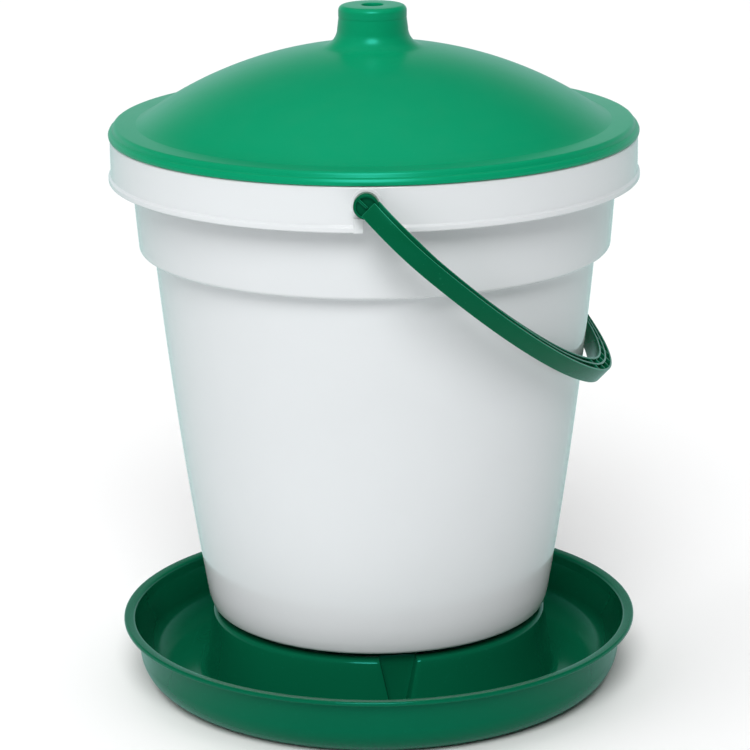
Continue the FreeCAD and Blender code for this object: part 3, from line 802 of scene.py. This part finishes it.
def bailEnd(s, side):
    # round head with its recess and cross rib, and the stud with its collar behind
    bm = rodMesh(s["discR"], side * s["discIn"], side * s["discOut"], "Y", bevel=0.7)
    face = max(bm.faces, key=lambda f: f.normal.y * side * f.calc_area())
    bmesh.ops.inset_individual(bm, faces=[face], thickness=1.0 * mm, depth=0)
    bmesh.ops.inset_individual(bm, faces=[face], thickness=0.25 * mm, depth=-2.4 * mm)
    low, high = sorted((side * (s["discOut"] - 0.2), side * (s["discOut"] - 2.6)))
    endRib = boxMesh((1 - s["discR"], low, -0.8), (1.0, high, 0.8))
    roundEdges(endRib, 0.25)
    addTo(bm, endRib)
    tip = side * s["studEnd"]
    addTo(bm, rodMesh(s["studR"], side * (s["discIn"] + 1), tip, "Y", bevel=0.4, segments=32))
    addTo(bm, rodMesh(s["collarR"], tip + side * 2, tip, "Y", bevel=0.5, segments=32))
    return bm


def buildBail(s):
    whole = bailRibbon(s, s["outerInset"], 0.0, s["thick"])
    addTo(whole, bailRibbon(s, s["midInset"], s["midLift"], s["thick"]))
    addTo(whole, bailRibbon(s, s["innerInset"], 0.0, s["thick"]))
    addTo(whole, bailWeb(s))
    for angle in s["ribAngles"]:
        for side in (-1, 1):
            depth = s["innerInset"][1] + 0.6
            rib = boxMesh((-depth, -0.7, -s["wide"] / 2 + 0.5), (-0.6, 0.7, s["wide"] / 2 - 0.5))
            roundEdges(rib, 0.2)
            turnMesh(rib, side * angle, "Z")
            p = bailPoint(s, side * angle, 0)
            moveMesh(rib, p.x, p.y, 0)
            addTo(whole, rib)
    for side in (-1, 1):
        addTo(whole, bailEnd(s, side))
    turnMesh(whole, s["hang"], "Y")
    moveMesh(whole, 0, 0, s["pivotZ"])
    bail = looseObject(whole, "bailMoulding")
    return finishPiece(bail, "bailMoulding", "bail", ["bail"], finishes["bailGreen"])


buildBail(bailShape)


innerFinish = {
    "feed_cone": "naturalWhite", "spacer_sleeve": "naturalWhite", "tie_bolt": "zincSteel",
    "base_washer": "zincSteel", "cone_washer": "zincSteel", "wing_nut": "blackNylon",
}
for nodeName, finishName in innerFinish.items():
    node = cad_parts[nodeName]
    node.data.materials.clear()
    node.data.materials.append(finishes[finishName])
print("inner pieces finished")


studio = {
    "floorColour": (0.95, 0.95, 0.95), "floorHalf": 6, "mirroredFloor": (0.40, 0.62, 0.60), "ambient": 0.10,
    "mirroredSky": (0.64, 0.92, 0.94), "skyFaint": 0.06, "skyBright": 0.8,
    "key": {"from": (-0.05, -1.9, 1.75), "angle": 30.0, "strength": 2.3, "mirrored": True},
    "left": {"from": (-2.1, -1.1, 1.2), "angle": 50.0, "strength": 0.55, "mirrored": False},
    "top": {"from": (-0.25, 0.2, 2.5), "angle": 70.0, "strength": 1.4, "mirrored": False},
}
cameraSetup = {"lens": 141.03, "distance": 1.998, "azimuth": 1.6, "elevation": 15.911, "roll": -0.612,
               "target": (-0.00088, 0.0, 0.21204), "sensor": 36.0, "farClip": 50}


def buildFloor():
    bm = bmesh.new()
    bmesh.ops.create_grid(bm, x_segments=1, y_segments=1, size=studio["floorHalf"])
    floor = looseObject(bm, "floor")
    material = bpy.data.materials.new("paleFloor")
    material.use_nodes = True
    tree = material.node_tree
    shader = tree.nodes["Principled BSDF"]
    path = tree.nodes.new("ShaderNodeLightPath")
    tint = addNode(tree, "ShaderNodeMix", data_type="RGBA")
    tint.inputs["A"].default_value = (*studio["floorColour"], 1)
    tint.inputs["B"].default_value = (*studio["mirroredFloor"], 1)
    tree.links.new(path.outputs["Is Glossy Ray"], tint.inputs["Factor"])
    tree.links.new(tint.outputs["Result"], shader.inputs["Base Color"])
    shader.inputs["Roughness"].default_value = 0.9
    floor.data.materials.append(material)


def softSun(name, setup):
    data = bpy.data.lights.new(name, "SUN")
    data.angle = math.radians(setup["angle"])
    data.energy = setup["strength"]
    light = bpy.data.objects.new(name, data)
    light.rotation_euler = (-Vector(setup["from"])).to_track_quat("-Z", "Y").to_euler()
    light.visible_glossy = setup["mirrored"]
    bpy.context.scene.collection.objects.link(light)


def buildWorld():
    # white to the eye, dim to surfaces, and in reflections bright only low down behind the object
    world = bpy.data.worlds.new("studioWorld")
    world.use_nodes = True
    tree = world.node_tree
    path = tree.nodes.new("ShaderNodeLightPath")
    coords = tree.nodes.new("ShaderNodeTexCoord")
    way = tree.nodes.new("ShaderNodeSeparateXYZ")
    tree.links.new(coords.outputs["Generated"], way.inputs[0])
    behind = ranged(tree, way.outputs["Y"], -0.35, 0.75, 0.0, 1.0)
    low = ranged(tree, way.outputs["Z"], 0.2, 0.55, 1.0, 0.0)
    glow = maths(tree, "MULTIPLY", behind, low)
    mirrored = ranged(tree, glow, 0.0, 1.0, studio["skyFaint"], studio["skyBright"])
    seen = addNode(tree, "ShaderNodeMix", data_type="FLOAT")
    seen.inputs["A"].default_value = studio["ambient"]
    tree.links.new(mirrored, seen.inputs["B"])
    tree.links.new(path.outputs["Is Glossy Ray"], seen.inputs["Factor"])
    final = addNode(tree, "ShaderNodeMix", data_type="FLOAT")
    final.inputs["B"].default_value = 1.0
    tree.links.new(seen.outputs["Result"], final.inputs["A"])
    tree.links.new(path.outputs["Is Camera Ray"], final.inputs["Factor"])
    tree.links.new(final.outputs["Result"], tree.nodes["Background"].inputs["Strength"])
    hue = addNode(tree, "ShaderNodeMix", data_type="RGBA")
    hue.inputs["A"].default_value = (1, 1, 1, 1)
    hue.inputs["B"].default_value = (*studio["mirroredSky"], 1)
    tree.links.new(path.outputs["Is Glossy Ray"], hue.inputs["Factor"])
    tree.links.new(hue.outputs["Result"], tree.nodes["Background"].inputs["Color"])
    bpy.context.scene.world = world


def buildCamera(c):
    a, e = math.radians(c["azimuth"]), math.radians(c["elevation"])
    back = Vector((math.sin(a) * math.cos(e), -math.cos(a) * math.cos(e), math.sin(e)))
    data = bpy.data.cameras.new("camera")
    data.lens = c["lens"]
    data.sensor_width = c["sensor"]
    data.clip_end = c["farClip"]
    camera = bpy.data.objects.new("camera", data)
    turn = (-back).to_track_quat("-Z", "Y").to_matrix() @ Matrix.Rotation(math.radians(c["roll"]), 3, "Z")
    camera.matrix_world = Matrix.Translation(Vector(c["target"]) + back * c["distance"]) @ turn.to_4x4()
    bpy.context.scene.collection.objects.link(camera)
    bpy.context.scene.camera = camera


buildFloor()
for lightName in ("key", "left", "top"):
    softSun(lightName, studio[lightName])
buildWorld()
bpy.context.scene.view_settings.view_transform = "Standard"
buildCamera(cameraSetup)
